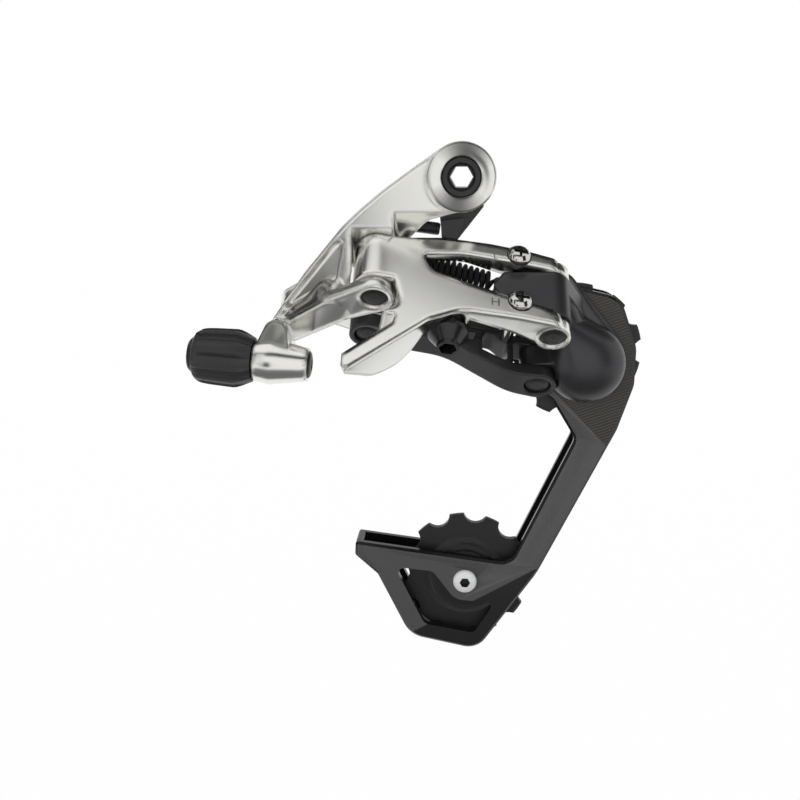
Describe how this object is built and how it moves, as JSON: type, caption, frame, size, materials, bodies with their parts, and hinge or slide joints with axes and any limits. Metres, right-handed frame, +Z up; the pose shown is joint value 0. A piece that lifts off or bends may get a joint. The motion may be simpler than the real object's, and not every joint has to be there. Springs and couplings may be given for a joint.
{
  "type": "rear bicycle derailleur",
  "caption": "Rear derailleur with a slanted parallelogram, barrel adjuster, limit screws and a sprung pulley cage that hangs from a hanger bolt.",
  "frame": {"origin": "on the hanger bolt's axis, at the outer face of the frame's hanger", "axes": "+X to the front of the bicycle, +Y inboard to the wheel, +Z up"},
  "size_m": [0.1365, 0.073, 0.1641],
  "materials": {
    "satin_alloy": "satin polished",
    "charcoal_alloy": "satin black anodised",
    "dark_pin": "black oxide",
    "bare_alloy": "bead blasted",
    "dark_steel": "black oxide",
    "bright_steel": "plated",
    "bearing_steel": "ground",
    "ceramic": "polished",
    "bush_bronze": "machined",
    "carbon_plate": "woven fibre under lacquer",
    "pulley_polymer": "moulded matt",
    "black_polymer": "moulded satin",
    "grip_rubber": "ribbed matt"
  },
  "bodies": {
    "hanger_mount": {"hanger_bolt": "dark_steel", "stop_washer": "dark_steel"},
    "b_knuckle": {"b_knuckle": "satin_alloy", "hanger_bushes": "bush_bronze", "outer_rear_pin": "dark_pin", "cable_end_cap": "black_polymer"},
    "b_tension_screw": {"b_tension_screw": "dark_steel"},
    "housing_seat": {"housing_seat": "bare_alloy"},
    "adjuster": {"adjuster_barrel": "bare_alloy", "adjuster_sleeve": "grip_rubber"},
    "outer_link": {"outer_link": "satin_alloy", "outer_link_bushes": "bush_bronze", "outer_front_pin": "dark_pin", "cable_anchor_bolt": "dark_steel", "cable_clamp_plate": "dark_steel", "return_spring": "dark_steel"},
    "h_limit_screw": {"h_limit_screw": "bright_steel"},
    "l_limit_screw": {"l_limit_screw": "bright_steel"},
    "inner_link": {"inner_link": "charcoal_alloy", "inner_rear_pin": "dark_pin", "inner_front_pin": "dark_pin"},
    "p_knuckle": {"p_knuckle": "charcoal_alloy", "p_knuckle_bushes": "bush_bronze", "cage_axle_bush": "bush_bronze", "axle_retaining_screw": "dark_steel", "cage_spring": "dark_steel"},
    "cage": {"cage_axle": "bare_alloy", "cage_seal": "grip_rubber", "cage_outer_plate": "carbon_plate", "cage_inner_plate": "carbon_plate", "cage_stop_pin": "dark_pin", "guide_bolt": "bare_alloy", "tension_bolt": "bare_alloy", "guide_inner_race": "bearing_steel", "guide_bearing_caps": "black_polymer", "tension_inner_race": "bearing_steel", "tension_bearing_caps": "black_polymer"},
    "guide_pulley": {"guide_pulley": "pulley_polymer", "guide_outer_race": "bearing_steel", "guide_balls": "ceramic"},
    "tension_pulley": {"tension_pulley": "pulley_polymer", "tension_outer_race": "bearing_steel", "tension_balls": "ceramic"}
  },
  "joints": [
    {"name": "b_pivot", "type": "hinge", "parent": "hanger_mount", "child": "b_knuckle", "pos_m": [0, 0, 0], "axis": [0, 1, 0], "range_deg": [0, 28]},
    {"name": "b_tension_travel", "type": "slide", "parent": "b_knuckle", "child": "b_tension_screw", "axis": [0.991, 0, -0.134], "range_m": [-0.004, 0]},
    {"name": "adjuster_travel", "type": "slide", "parent": "b_knuckle", "child": "housing_seat", "axis": [-0.9969, 0, 0.0785], "range_m": [0, 0.003]},
    {"name": "adjuster_turn", "type": "hinge", "parent": "housing_seat", "child": "adjuster", "pos_m": [-0.06995, -0.018, -0.05172], "axis": [-0.9969, 0, 0.0785], "range_deg": [0, 1080]},
    {"name": "outer_link_pivot", "type": "hinge", "parent": "b_knuckle", "child": "outer_link", "pos_m": [-0.0241, -0.01634, -0.02669], "axis": [0, 0.7431, 0.6691], "range_deg": [-32, 34], "deforming": ["return_spring"]},
    {"name": "h_limit_travel", "type": "slide", "parent": "outer_link", "child": "h_limit_screw", "axis": [-0.213, 0.6538, -0.7261], "range_m": [-0.004, 0]},
    {"name": "l_limit_travel", "type": "slide", "parent": "outer_link", "child": "l_limit_screw", "axis": [-0.213, 0.6538, -0.7261], "range_m": [-0.004, 0]},
    {"name": "inner_link_pivot", "type": "hinge", "parent": "b_knuckle", "child": "inner_link", "pos_m": [-0.0274, -0.00383, -0.04059], "axis": [0, 0.7431, 0.6691], "range_deg": [-33, 35]},
    {"name": "p_knuckle_pivot", "type": "hinge", "parent": "outer_link", "child": "p_knuckle", "pos_m": [0.02671, -0.01041, -0.03626], "axis": [0, 0.7431, 0.6691], "range_deg": [-35, 33]},
    {"name": "cage_pivot", "type": "hinge", "parent": "p_knuckle", "child": "cage", "pos_m": [0.03801, 0, -0.055], "axis": [0, -1, 0], "range_deg": [0, 100], "stiffness_Nm_per_rad": 0.2, "springref_deg": -114.59, "deforming": ["cage_spring"]},
    {"name": "guide_spin", "type": "hinge", "parent": "cage", "child": "guide_pulley", "pos_m": [0.03581, 0.012, -0.0537], "axis": [0, 1, 0], "continuous": true},
    {"name": "tension_spin", "type": "hinge", "parent": "cage", "child": "tension_pulley", "pos_m": [0.00278, 0.012, -0.13039], "axis": [0, 1, 0], "continuous": true}
  ],
  "couplings": [
    {"joint": "inner_link_pivot", "follows": "outer_link_pivot", "ratio": 1},
    {"joint": "p_knuckle_pivot", "follows": "outer_link_pivot", "ratio": -1},
    {"joint": "adjuster_travel", "follows": "adjuster_turn", "m_per_rad": 0.00015915}
  ]
}
